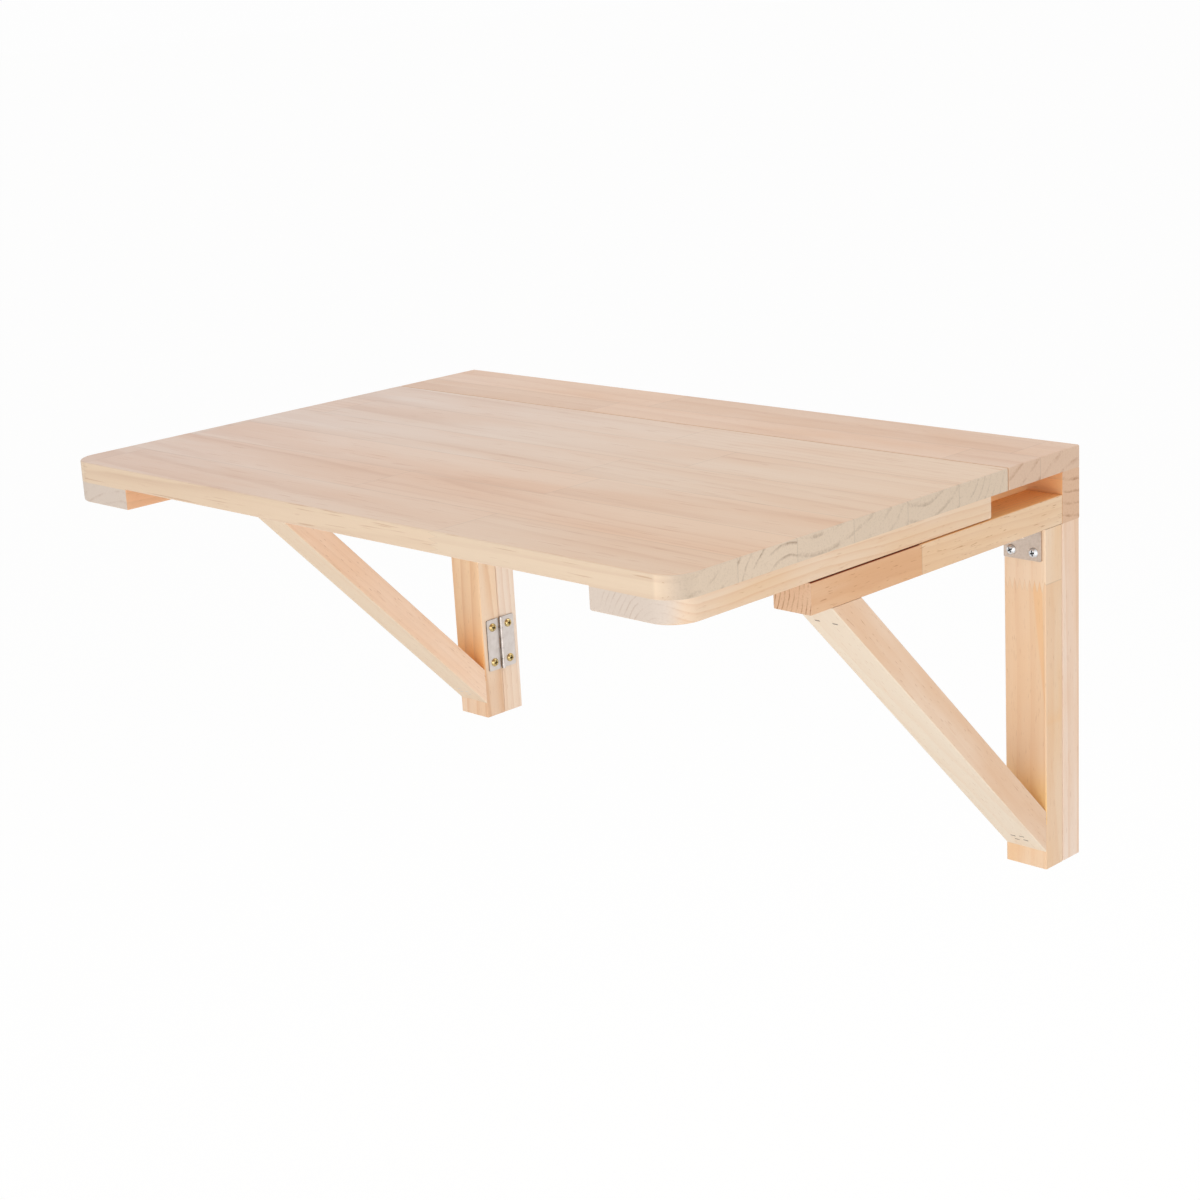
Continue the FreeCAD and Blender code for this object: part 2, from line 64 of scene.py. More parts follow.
def linear(code: str) -> tuple[float, float, float, float]:
    """Turn an sRGB hex colour into linear values.

    Args:
        code: Six hex digits after a hash.

    Returns:
        Linear red, green and blue, and an alpha of one.
    """
    parts = [int(code[i:i + 2], 16) / 255 for i in (1, 3, 5)]
    red, green, blue = [c / 12.92 if c <= 0.04045 else ((c + 0.055) / 1.055) ** 2.4 for c in parts]
    return red, green, blue, 1.0


def add(tree: Tree, kind: str, *feeds: Any, out: int | str = 0, **settings: Any) -> Socket | None:
    """Add one node with its settings and links.

    Args:
        tree: The node tree that takes the node.
        kind: The node's type name without its ShaderNode prefix.
        feeds: What goes into the inputs in order: a socket, a value, or None to leave one as it is.
        out: Which output to give back.
        settings: The node's own properties.

    Returns:
        The chosen output socket, or None for a node without outputs.
    """
    node = tree.nodes.new("ShaderNode" + kind)
    for name, value in settings.items():
        setattr(node, name, value)
    for socket, feed in zip(node.inputs, feeds):
        if isinstance(feed, Socket):
            tree.links.new(feed, socket)
        elif feed is not None:
            socket.default_value = feed
    return node.outputs[out] if node.outputs else None


def blank_material(name: str) -> tuple[Material, Tree]:
    """Make a material with an empty node tree.

    Args:
        name: The material's name.

    Returns:
        The material and its node tree.
    """
    mat = bpy.data.materials.new(name)
    mat.use_nodes = True
    mat.node_tree.nodes.clear()
    return mat, mat.node_tree


def dress(nodes: Iterable[str], mat: Material) -> None:
    """Give CAD nodes a finish.

    Args:
        nodes: Names of the CAD nodes.
        mat: Their material.
    """
    for name in nodes:
        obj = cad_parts[name]
        obj.data.materials.clear()
        obj.data.materials.append(mat)
        LOG.info("dressed %s in %s", name, mat.name)


class Side(Enum):
    """The two ends of the table, as the sign of X."""

    LEFT = -1
    RIGHT = 1

    @property
    def word(self) -> str:
        """The side's word in node names."""
        return self.name.lower()


class Grain(Enum):
    """Which way a board's fibres run: its length, width and thickness directions."""

    ALONG_WALL = ((1, 0, 0), (0, 1, 0), (0, 0, 1))
    FROM_WALL = ((0, 1, 0), (-1, 0, 0), (0, 0, 1))
    ARM = ((0, 1, 0), (0, 0, 1), (1, 0, 0))
    UPRIGHT = ((0, 0, 1), (0, 1, 0), (-1, 0, 0))
    BRACE = ((0, -0.699, 0.715), (1, 0, 0), (0, 0.715, 0.699))


class Axis(Enum):
    """The direction in which a skin has its depth, by its place in a board's coordinates."""

    ACROSS = 1
    THROUGH = 2


@dataclass(frozen=True)
class Streaks:
    """A noise drawn out along the fibres: its size, its detail, and the span of values where it shows."""

    size_mm: Vec3
    detail: float
    roughness: float
    span: Span = (0.3, 0.7)
    share: float = 1.0


# Short brown resin flecks, and broad drifts from the pale tone to the warm one
FLECKS = Streaks((8.0, 0.8, 0.8), 1.0, 0.5, (0.67, 0.75), 0.25)
DRIFTS = Streaks((140.0, 28.0, 28.0), 3.0, 0.55, (0.35, 0.7))


@dataclass(frozen=True)
class GlueUp:
    """How a board is glued up: staves side by side, each a row of finger jointed blocks.

    Glue lines are a thin shade darker. A start moves the first joint, and the stagger moves the joints
    of each stave by a chance share of a block.
    """

    stave_mm: float = 1000.0
    stave_start: float = 0.5
    block_mm: float = 900.0
    block_start_mm: float = 450.0
    stagger: float = 0.0
    finger_mm: float = 8.0
    finger_half_mm: float = 2.0
    line_mm: Span = (0.1, 0.6)
    line_tone: float = 0.86


@dataclass(frozen=True)
class Rings:
    """Growth rings: circles about a pith outside the board, bent along the fibres and leaning as a cone.

    A ring darkens slowly to its late wood and ends at once. The line is the dark last part of a ring.
    Each block's rings are as wide as the least share and a chance part of the spread.
    """

    wide_mm: float = 6.5
    bend_mm: float = 15.0
    lean: float = 0.03
    pith_near_mm: float = 16.0
    pith_far_mm: float = 70.0
    least_share: float = 0.6
    spread_share: float = 0.8
    late_power: float = 2.2
    late_end: Span = (0.88, 1.0)
    line: Span = (0.62, 0.9)
    bends: Streaks = Streaks((220.0, 45.0, 45.0), 3.0, 0.5)


@dataclass(frozen=True)
class CutEnd:
    """Sawn and sanded end grain: thin grey brown ring arcs on a paler ground, with pores.

    The arcs are smudged in places, and the clear span is how much of them the blocks show.
    """

    early: str = "#E0CDB9"
    late: str = "#B99B82"
    clear: Span = (0.2, 1.0)
    clear_chance: Span = (0.2, 0.8)
    pores: float = 0.9
    arc_share: float = 0.85
    faintest: float = 0.05
    smudges: Streaks = Streaks((11.0, 11.0, 11.0), 3.0, 0.6, (0.4, 0.65))


@dataclass(frozen=True)
class Skin:
    """Painted light and shade on one face, as a colour close under it that is gone at a small depth.

    The far block may have a painted shade of its own, and the middle of the length may stay bare.
    """

    tone: str
    share: float
    depth_mm: Span
    axis: Axis = Axis.THROUGH
    far_tone: str = ""
    bare_half_mm: float = 0.0
    fade_mm: float = 45.0

    def over(self, board: "WoodBoard", ground: Socket) -> Socket:
        """Lay the painted light and shade over the wood.

        Args:
            board: The board's nodes.
            ground: The colour so far.

        Returns:
            The colour with the skin.
        """
        put = board.put
        share = put("MapRange", board.directions[self.axis.value], *self.depth_mm, self.share, 0.0)
        if self.bare_half_mm:
            off_middle = put("Math", board.along, operation="ABSOLUTE")
            fade_end = self.bare_half_mm + self.fade_mm
            reached = put("MapRange", off_middle, self.bare_half_mm, fade_end, 0.0, 1.0)
            share = put("Math", share, reached, operation="MULTIPLY")
        tone = linear(self.tone)
        if self.far_tone:
            tone = put("MixRGB", board.beyond, tone, linear(self.far_tone))
        return put("MixRGB", share, ground, tone)


@dataclass(frozen=True)
class PitchStreak:
    """A long yellow streak of resin on the far block, a wedge that narrows to a point."""

    tone: str = "#ECBA7C"
    share: float = 0.95
    middle_mm: float = -15.5
    slant: float = 0.066
    half_mm: float = 4.4
    ends_mm: Span = (-15.0, 85.0)
    soft_mm: Span = (-0.8, 0.2)

    def over(self, board: "WoodBoard", ground: Socket) -> Socket:
        """Lay the streak over the wood.

        Args:
            board: The board's nodes.
            ground: The colour so far.

        Returns:
            The colour with the streak.
        """
        put = board.put
        half = put("MapRange", board.along, *self.ends_mm, 0.0, self.half_mm)
        off = put("Math", board.along, -self.slant, board.through, operation="MULTIPLY_ADD")
        off = put("Math", off, self.middle_mm, operation="SUBTRACT")
        off = put("Math", off, operation="ABSOLUTE")
        past = put("Math", off, half, operation="SUBTRACT")
        wedge = put("MapRange", past, *self.soft_mm, self.share, 0.0)
        wedge = put("Math", wedge, board.beyond, operation="MULTIPLY")
        return put("MixRGB", wedge, ground, linear(self.tone))


@dataclass(frozen=True)
class FootGlow:
    """Painted light and shade: a warm front just above the brace's foot, where wood lights wood, paler
    towards the top.
    """

    foot_tone: str
    top_tone: str
    rise_mm: Span = (-78.0, -32.0)
    foot_share: float = 1.0
    top_share: float = 0.55
    below_mm: float = 10.0
    front_mm: Span = (-9.6, -8.8)

    def over(self, board: "WoodBoard", ground: Socket) -> Socket:
        """Lay the glow over the wood.

        Args:
            board: The board's nodes.
            ground: The colour so far.

        Returns:
            The colour with the glow.
        """
        put = board.put
        foot, top = self.rise_mm
        rise = put("MapRange", board.along, foot, top, 0.0, 1.0, interpolation_type=SMOOTH)
        tone = put("MixRGB", rise, linear(self.foot_tone), linear(self.top_tone))
        share = put("MapRange", rise, 0.0, 1.0, self.foot_share, self.top_share)
        above = put("Math", board.along, foot - self.below_mm, operation="GREATER_THAN")
        share = put("Math", share, above, operation="MULTIPLY")
        front = put("MapRange", board.across, *self.front_mm, 1.0, 0.0)
        share = put("Math", share, front, operation="MULTIPLY")
        return put("MixRGB", share, ground, tone)


@dataclass(frozen=True)
class Sweep:
    """A faint tint that changes from one end of a board to the other, on every face or on the top alone."""

    start: str
    end: str
    span_mm: Span = (-300.0, 300.0)
    top_only: bool = False
    top_turn: Span = (0.5, 0.9)

    def over(self, board: "WoodBoard", face: Socket) -> Socket:
        """Tint the wood.

        Args:
            board: The board's nodes.
            face: The colour so far.

        Returns:
            The tinted colour.
        """
        put = board.put
        share = put("MapRange", board.along, *self.span_mm, -0.5, 0.5)
        on_top = put("MapRange", board.upward, *self.top_turn, 0.0 if self.top_only else 1.0, 1.0)
        share = put("Math", share, on_top, 0.5, operation="MULTIPLY_ADD")
        tint = put("MixRGB", share, linear(self.start), linear(self.end))
        return put("VectorMath", face, tint, operation="MULTIPLY")


@dataclass(frozen=True)
class WoodFinish:
    """Planed and sanded wood under a thin matt lacquer: radiata pine, and beech for the dowels.

    The wood is solid, so each ring line runs on from a face round the edge. Long faces show soft pale
    and tan bands with fine fibres, feathered patches and short resin flecks. Cut ends are greyer, with
    thin ring arcs. Blocks meet in finger joints that zigzag through the thickness. The fibres are drawn
    about a millimetre wide, coarser than real ones, so that they show.
    """

    name: str
    grain: Grain
    seed: float
    # Long faces: colours, and how strong bands, lines and fibres are
    early: str = "#EBD0B6"
    blush: str = "#E6C09C"
    late: str = "#D9AF8A"
    # The edge tone is painted light on the faces that look across the board, such as the leaf's front edge
    edge: str = "#F0DABC"
    edge_share: float = 0.0
    contrast: float = 0.45
    figure: float = 0.0
    fibre: float = 0.3
    fibres: Streaks = Streaks((70.0, 1.25, 1.25), 4.0, 0.6)
    drifts: Streaks = DRIFTS
    feathers: Streaks = Streaks((40.0, 5.0, 5.0), 4.0, 0.65, (0.62, 0.72), 0.3)
    flecks: Streaks = FLECKS
    fleck_tone: str = "#B07A4E"
    # How it is glued up, has grown and is cut
    glue_up: GlueUp = GlueUp()
    rings: Rings = Rings()
    cut_end: CutEnd = CutEnd()
    # Layers on some faces: painted light and shade, a resin streak, a painted warm glow, and a tint
    skin: Skin | None = None
    pitch: PitchStreak | None = None
    glow: FootGlow | None = None
    sweep: Sweep | None = None
    # Tones of staves and blocks, painted shade on corners, and painted bounced light on the edge at the seam
    stave_tan: str = "#FFFFFF"
    far_tint: str = "#FFFFFF"
    tone_spread: float = 0.014
    face_turn: Span = (0.4, 0.95)
    corner_turn: Span = (0.05, 0.4)
    corner_tone: float = 1.0
    seam: str = "#E0BD9F"
    seam_share: float = 0.9
    seam_mm: float = 0.0
    seam_soft_mm: Span = (0.6, 0.2)
    # What sets the chances of staves and blocks apart
    stave_luck: float = 50.0
    block_luck: float = 1.37
    # Lacquer and relief
    sheen: Span = (0.46, 0.6)
    ior: float = 1.45
    specular: float = 0.35
    bump: float = 0.1
    bump_mm: float = 0.4
    late_rise: float = 0.4

    def cover(self, node: str) -> None:
        """Build the wood of one board and dress its CAD node in it.

        Args:
            node: The CAD node.
        """
        dress([node], WoodBoard(self, node).material())


class WoodBoard:
    """One board's wood as nodes, worked out in the board's own directions in millimetres."""

    def __init__(self, look: WoodFinish, node: str) -> None:
        """Start the material, with the board's directions, blocks and rings.

        Args:
            look: The finish to build.
            node: The CAD node that it dresses.
        """
        self.look = look
        self.mat, tree = blank_material(look.name)
        self.put = partial(add, tree)
        low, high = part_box(node)
        centre = [(a + b) / 2 for a, b in zip(low, high)]
        self.place = self.turned("Object", 1 / MM, tuple(-c / MM for c in centre))
        self.directions = self.put("SeparateXYZ", self.place).node.outputs
        self.along, self.across, self.through = self.directions
        facing, sideways, self.upward = self.put("SeparateXYZ", self.turned("Normal")).node.outputs
        self.facing = self.put("Math", facing, operation="ABSOLUTE")
        self.sideways = self.put("Math", sideways, operation="ABSOLUTE")
        self.lay_blocks()
        self.grow_rings()
        self.fibre = self.noise(look.fibres)

    def turned(self, kind: str, scale: float = 1.0, shift: Vec3 = (0.0, 0.0, 0.0)) -> Socket:
        """Coordinates along the fibres, across the width and through the thickness.

        Args:
            kind: Object for places, Normal for the way that a face looks.
            scale: What they are multiplied by.
            shift: What is then added, before the turn.

        Returns:
            A vector socket.
        """
        source = self.put("TexCoord", out=kind)
        scaled = self.put("VectorMath", source, (scale,) * 3, shift, operation="MULTIPLY_ADD")
        return self.put("Mapping", scaled, None, tuple(Matrix(self.look.grain.value).to_euler()))

    def noise(self, streaks: Streaks, by_stave: bool = False) -> Socket:
        """A noise drawn out along the fibres.

        Args:
            streaks: Its size and detail.
            by_stave: Whether each stave has a noise of its own.

        Returns:
            The noise, from 0 to 1.
        """
        stretched = self.put("VectorMath", self.place, streaks.size_mm, operation="DIVIDE")
        return self.put("TexNoise", stretched, self.luck if by_stave else None, 1.0, streaks.detail,
                        streaks.roughness, noise_dimensions="4D" if by_stave else "3D")

    def lay_blocks(self) -> None:
        """Find each point's stave and block, its place in them, and the chances drawn for them."""
        put, look, glued = self.put, self.look, self.look.glue_up
        rows = put("Math", self.across, 1 / glued.stave_mm, glued.stave_start, operation="MULTIPLY_ADD")
        row = put("Math", rows, operation="FLOOR")
        self.row_part = put("Math", rows, row, operation="SUBTRACT")
        row_key = put("Math", row, look.seed, operation="ADD")
        row_chance = put("TexWhiteNoise", None, row_key, noise_dimensions="1D")
        self.luck = put("Math", row_chance, look.stave_luck, look.seed, operation="MULTIPLY_ADD")
        zigzag = put("Math", self.through, glued.finger_half_mm, operation="PINGPONG")
        slope = glued.finger_mm / glued.finger_half_mm
        run = put("Math", zigzag, slope, self.along, operation="MULTIPLY_ADD")
        run = put("Math", row_chance, glued.stagger * glued.block_mm, run, operation="MULTIPLY_ADD")
        run = put("Math", run, glued.block_start_mm, operation="ADD")
        runs = put("Math", run, glued.block_mm, operation="DIVIDE")
        block = put("Math", runs, operation="FLOOR")
        self.run_part = put("Math", runs, block, operation="SUBTRACT")
        self.beyond = put("Math", block, -0.5, operation="LESS_THAN")
        key = put("CombineXYZ", row, block, look.seed * look.block_luck)
        pick = put("TexWhiteNoise", key, noise_dimensions="3D", out="Color")
        self.chance_a, self.chance_b, self.chance_c = put("SeparateXYZ", pick).node.outputs

    def grow_rings(self) -> None:
        """Work out the rings from the distance to the block's pith: a soft late band and a thin line."""
        put, rings = self.put, self.look.rings
        middle = put("Math", self.row_part, 0.5, operation="SUBTRACT")
        side = put("Math", middle, self.look.glue_up.stave_mm, operation="MULTIPLY")
        aside = put("Math", self.chance_a, 0.5, operation="SUBTRACT")
        side = put("Math", aside, rings.pith_far_mm, side, operation="MULTIPLY_ADD")
        reach = put("Math", self.chance_b, rings.pith_far_mm, rings.pith_near_mm, operation="MULTIPLY_ADD")
        over = put("Math", self.chance_c, 0.5, operation="SUBTRACT")
        over = put("Math", over, operation="SIGN")
        depth = put("Math", over, reach, self.through, operation="MULTIPLY_ADD")
        radius = put("VectorMath", put("CombineXYZ", side, depth), operation="LENGTH", out="Value")
        bend = self.noise(rings.bends, by_stave=True)
        radius = put("Math", bend, rings.bend_mm, radius, operation="MULTIPLY_ADD")
        lean = put("Math", aside, rings.lean * 2, operation="MULTIPLY")
        radius = put("Math", self.along, lean, radius, operation="MULTIPLY_ADD")
        least, spread = rings.wide_mm * rings.least_share, rings.wide_mm * rings.spread_share
        width = put("Math", self.chance_b, spread, least, operation="MULTIPLY_ADD")
        ring = put("Math", put("Math", radius, width, operation="DIVIDE"), operation="FRACT")
        fall = put("MapRange", ring, *rings.late_end, 1.0, 0.0, interpolation_type=SMOOTH)
        late = put("Math", ring, rings.late_power, operation="POWER")
        self.late = put("Math", late, fall, operation="MULTIPLY")
        line = put("MapRange", ring, *rings.line, 0.0, 1.0, interpolation_type=SMOOTH)
        self.line = put("Math", line, fall, operation="MULTIPLY")

    def long_face(self) -> Socket:
        """Colour of the faces along the fibres: ground and layers, bands and fibres, flecks and tints.

        Returns:
            The colour socket.
        """
        put, look = self.put, self.look
        drift = self.noise(look.drifts, by_stave=True)
        warmth = put("MapRange", drift, *look.drifts.span, 0.0, 1.0, interpolation_type=SMOOTH)
        ground = put("MixRGB", warmth, linear(look.early), linear(look.blush))
        for layer in (look.skin, look.pitch, look.glow):
            if layer:
                ground = layer.over(self, ground)
        edge = put("MapRange", self.sideways, *look.face_turn, 0.0, look.edge_share,
                   interpolation_type=SMOOTH)
        ground = put("MixRGB", edge, ground, linear(look.edge))

        amount = put("Math", self.fibre, look.fibre, -look.fibre / 2, operation="MULTIPLY_ADD")
        amount = put("Math", self.late, look.contrast, amount, operation="MULTIPLY_ADD")
        figure = put("Math", self.line, warmth, operation="MULTIPLY")
        amount = put("Math", figure, look.figure, amount, operation="MULTIPLY_ADD")
        feather = put("MapRange", self.noise(look.feathers), *look.feathers.span, 0.0, look.feathers.share,
                      interpolation_type=SMOOTH)
        amount = put("Math", amount, feather, operation="ADD", use_clamp=True)
        face = put("MixRGB", amount, ground, linear(look.late))
        fleck = put("MapRange", self.noise(look.flecks), *look.flecks.span, 0.0, look.flecks.share)
        face = put("MixRGB", fleck, face, linear(look.fleck_tone))

        tan = put("MixRGB", self.chance_c, WHITE, linear(look.stave_tan))
        face = put("VectorMath", face, tan, operation="MULTIPLY")
        return look.sweep.over(self, face) if look.sweep else face

    def end_face(self) -> Socket:
        """Colour of the cut ends.

        Returns:
            The colour socket.
        """
        put, cut = self.put, self.look.cut_end
        pores = put("Math", self.fibre, cut.pores, -cut.pores / 2, operation="MULTIPLY_ADD")
        patch = self.noise(cut.smudges, by_stave=True)
        smudge = put("MapRange", patch, *cut.smudges.span, cut.faintest, 1.0)
        clear = put("MapRange", self.chance_a, *cut.clear_chance, *cut.clear)
        arc = put("Math", self.line, smudge, operation="MULTIPLY")
        arc = put("Math", arc, clear, operation="MULTIPLY")
        amount = put("Math", arc, cut.arc_share, pores, operation="MULTIPLY_ADD", use_clamp=True)
        return put("MixRGB", amount, linear(cut.early), linear(cut.late))

    def toned(self, colour: Socket) -> Socket:
        """Paint shade on rounded corners, tone blocks and glue lines, and paint bounced light on the edge at
        the seam.

        Args:
            colour: The wood's colour.

        Returns:
            The shaded colour.
        """
        put, look, glued = self.put, self.look, self.look.glue_up
        # Rounded corners are painted a shade darker, painted shade that tones down the lamps' light on them
        rounded_corner = put("Math", self.facing, self.sideways, operation="MULTIPLY")
        tone = put("MapRange", rounded_corner, *look.corner_turn, 1.0, look.corner_tone)
        colour = put("VectorMath", colour, None, None, tone, operation="SCALE")
        tint = put("MixRGB", self.beyond, WHITE, linear(look.far_tint))
        colour = put("VectorMath", colour, tint, operation="MULTIPLY")

        # Each block has a tone of its own, and glue lines are thin and darker
        tone = put("MapRange", self.chance_c, 0.0, 1.0, 1 - look.tone_spread, 1 + look.tone_spread)
        for part, size in ((self.row_part, glued.stave_mm), (self.run_part, glued.block_mm)):
            near = put("Math", part, 0.5, operation="PINGPONG")
            start, end = [reach / size for reach in glued.line_mm]
            line = put("MapRange", near, start, end, glued.line_tone, 1.0)
            tone = put("Math", tone, line, operation="MULTIPLY")
        colour = put("VectorMath", colour, None, None, tone, operation="SCALE")

        # The edge that faces the other board at the seam is warm, as light bounces between the two
        if look.seam_mm:
            inward = put("Math", self.across, math.copysign(1, look.seam_mm), operation="MULTIPLY")
            start, end = [abs(look.seam_mm) - soft for soft in look.seam_soft_mm]
            inside = put("MapRange", inward, start, end, 0.0, look.seam_share)
            colour = put("MixRGB", inside, colour, linear(look.seam))
        return colour

    def material(self) -> Material:
        """Join the faces, the lacquer's sheen and the fine relief of the fibres.

        Returns:
            The finished material.
        """
        put, look = self.put, self.look
        cut = put("MapRange", self.facing, *look.face_turn, 0.0, 1.0, interpolation_type=SMOOTH)
        colour = self.toned(put("MixRGB", cut, self.long_face(), self.end_face()))
        rough = put("MapRange", self.fibre, *look.fibres.span, *look.sheen)
        height = put("Math", self.late, look.late_rise, self.fibre, operation="MULTIPLY_ADD")
        bump = put("Bump", look.bump, look.bump_mm * MM, None, height)
        shader = put("BsdfPrincipled", colour, None, rough, None, None, bump)
        shader.node.inputs["IOR"].default_value = look.ior
        shader.node.inputs["Specular IOR Level"].default_value = look.specular
        put("OutputMaterial", shader)
        return self.mat


# Turned beech of the dowels, browner than the pine
BEECH = WoodFinish("dowel_beech", Grain.UPRIGHT, 50.0, early="#D8B78C", blush="#CFA878", late="#BE9565")


@dataclass(frozen=True)
class MetalFinish:
    """Plated steel: bright and even, with a faint mottle and fine rolling lines.

    The eye sees soft reflections of the room, and painted shade makes the screw recesses much darker.
    The recess mark is the screws' own attribute and is zero on every other piece. An edge shade below
    one darkens the faces that do not look along X, painted shade that draws a hinge leaf's outline. The
    rolling lines are drawn coarser than real ones, so that they show.
    """

    name: str
    colour: str
    shade: str
    roughness: float = 0.32
    mottle_mm: float = 2.0
    mottle_detail: Span = (4.0, 0.6)
    mottle_span: Span = (0.35, 0.65)
    rolling_mm: float = 0.4
    rolling_detail: Span = (2.0, 0.5)
    rolling_stretch: Vec3 = (0.08, 1.0, 0.08)
    recess_tone: float = 0.12
    cut_edge: float = 1.0
    edge_turn: Span = (0.3, 0.7)
    rough_mottle: Span = (0.3, 0.7)
    rough_swing: Span = (-0.07, 0.09)
    bump: float = 0.03
    bump_mm: float = 0.2

    def material(self) -> Material:
        """Build the metal.

        Returns:
            The finished material.
        """
        mat, tree = blank_material(self.name)
        put = partial(add, tree)
        place = put("TexCoord", out="Object")
        mottle = put("TexNoise", place, None, 1 / (self.mottle_mm * MM), *self.mottle_detail)
        drawn = put("VectorMath", place, self.rolling_stretch, operation="MULTIPLY")
        rolling = put("TexNoise", drawn, None, 1 / (self.rolling_mm * MM), *self.rolling_detail)
        blend = put("MapRange", mottle, *self.mottle_span, 0.0, 1.0)
        colour = put("MixRGB", blend, linear(self.colour), linear(self.shade))
        # Painted shade in the screw recesses
        recess = put("Attribute", attribute_name="recess", out="Fac")
        shade_in_recess = put("MapRange", recess, 0.0, 1.0, 1.0, self.recess_tone)
        colour = put("VectorMath", colour, None, None, shade_in_recess, operation="SCALE")
        flat = put("Math", put("SeparateXYZ", put("TexCoord", out="Normal")), operation="ABSOLUTE")
        edge_shaded = put("MapRange", flat, *self.edge_turn, self.cut_edge, 1.0)
        colour = put("VectorMath", colour, None, None, edge_shaded, operation="SCALE")
        rough_span = [self.roughness + swing for swing in self.rough_swing]
        rough = put("MapRange", mottle, *self.rough_mottle, *rough_span)
        bump = put("Bump", self.bump, self.bump_mm * MM, None, rolling)
        put("OutputMaterial", put("BsdfPrincipled", colour, 1.0, rough, None, None, bump))
        return mat


@dataclass(frozen=True)
class CrossScrew:
    """A pan head wood screw with a cross recess and a rolled thread, in millimetres."""

    head_radius: float = 3.6
    head_thick: float = 2.1
    rim_thick: float = 0.35
    dome_power: float = 4.0
    shank_radius: float = 1.6
    core_radius: float = 1.2
    thread_pitch: float = 1.7
    crest_power: float = 1.6
    tip: float = 3.0
    tip_blunt: float = 0.02
    recess_long: float = 4.2
    recess_wide: float = 0.9
    recess_deep: float = 1.3
    recess_wall: float = 0.2
    recess_ramp: float = 0.5
    turns: int = 48
    head_rings: int = 26
    head_start: float = 0.004
    steps_per_pitch: int = 6
    first_spin: float = 0.5
    next_spin: float = 1.3
    sharp_degrees: float = 50.0

    def recess(self, x: np.ndarray, y: np.ndarray) -> np.ndarray:
        """How deep the recess is at each point of the head, from 0 to 1.

        Formula: two crossed slots whose walls slope in, each the product of a falling step across
        the slot and a ramp that deepens from the slot's end towards the middle.

        Args:
            x: First coordinate across the head.
            y: Second coordinate across the head.

        Returns:
            The share of the full depth.
        """
        inside = (self.recess_wide + self.recess_wall) / 2 - np.abs(np.stack([y, x]))
        wall = np.clip(inside / self.recess_wall, 0, 1)
        ramp = np.clip((self.recess_long / 2 - np.abs(np.stack([x, y]))) / self.recess_ramp, 0, 1)
        return (wall * ramp).max(axis=0)

    def surface(self, length: float, spin: float) -> tuple[np.ndarray, np.ndarray]:
        """One screw as rings of points: seat at zero, head above, thread below.

        Formula: the head is a dome, height times one minus the fourth power of the radius share, less
        the recess. Below the seat the radius is the core plus a triangle wave that climbs one pitch
        per turn, and it shrinks to a point along the tip.

        Args:
            length: Length under the head.
            spin: Turn of the cross about the screw's axis, in radians.

        Returns:
            Points as rings by turns by three, and the recess mark of each point.
        """
        angle = np.linspace(0, 2 * np.pi, self.turns, endpoint=False)[None, :]
        share = np.linspace(self.head_start, 1, self.head_rings)[:, None]
        radius = self.head_radius * share + 0 * angle
        x, y = radius * np.cos(angle), radius * np.sin(angle)
        mark = self.recess(x, y)
        dome = self.rim_thick + (self.head_thick - self.rim_thick) * (1 - share ** self.dome_power)
        head = np.stack([x, y, dome - self.recess_deep * mark], axis=-1)
        rim = np.stack([x[-1:], y[-1:], np.zeros_like(x[-1:])], axis=-1)
        steps = int(length / self.thread_pitch * self.steps_per_pitch)
        depth = np.linspace(0, length, steps)[:, None]
        wave = np.abs(2 * np.mod(depth / self.thread_pitch + angle / (2 * np.pi), 1) - 1)
        taper = np.clip((length - depth) / self.tip, self.tip_blunt, 1)
        crest = (self.shank_radius - self.core_radius) * wave ** self.crest_power
        grip = (self.core_radius + crest) * taper
        shank = np.stack([grip * np.cos(angle), grip * np.sin(angle), -depth + 0 * angle], axis=-1)
        points = np.concatenate([head, rim, shank])
        marks = np.concatenate([mark, np.zeros((1 + steps, self.turns))])
        cos, sin = math.cos(spin), math.sin(spin)
        points[..., :2] = points[..., :2] @ np.array([[cos, sin], [-sin, cos]])
        return points, marks

    def piece(self, node: str, body: str, slot: str, mat: Material, length: float,
              rows: dict[Vec3, list[Vec3]]) -> None:
        """Build the screws that stand for one CAD node.

        Args:
            node: The CAD node of these screws.
            body: The CAD body that they move with.
            slot: Not used.
            mat: Their finish.
            length: Length under the head in millimetres.
            rows: For each direction of heads, the middle of each head's underside in millimetres.
        """
        points, faces, marks, start = [], [], [], 0
        places = [(direction, seat) for direction, seats in rows.items() for seat in seats]
        for index, (direction, seat) in enumerate(places):
            out = np.asarray(direction, dtype=float)
            across = np.cross(out, (0.0, 0.0, 1.0) if abs(out[2]) < 0.5 else (0.0, 1.0, 0.0))
            basis = np.stack([across, np.cross(out, across), out])
            grid, mark = self.surface(length, self.first_spin + self.next_spin * index)
            rings, turns = grid.shape[:2]
            order = np.arange(rings * turns).reshape(rings, turns)
            after = np.roll(order, -1, axis=1)
            quads = np.stack([order[:-1], order[1:], after[1:], after[:-1]], axis=-1).reshape(-1, 4)
            points.append(grid.reshape(-1, 3) @ basis + np.asarray(seat))
            faces += (quads + start).tolist()
            faces += [(order[0] + start).tolist(), (order[-1][::-1] + start).tolist()]
            marks.append(mark.ravel())
            start += rings * turns
        mesh = bpy.data.meshes.new(node + "_cross")
        mesh.from_pydata((np.concatenate(points) * MM).tolist(), [], faces)
        mesh.attributes.new("recess", "FLOAT", "POINT").data.foreach_set("value", np.concatenate(marks))
        mesh.shade_smooth()
        mesh.set_sharp_from_angle(angle=math.radians(self.sharp_degrees))
        mesh.materials.append(mat)
        obj = bpy.data.objects.new(node + "_cross", mesh)
        bpy.context.collection.objects.link(obj)
        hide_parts(node)
        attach(obj, body)
        LOG.info("built %s with %d faces", obj.name, len(mesh.polygons))


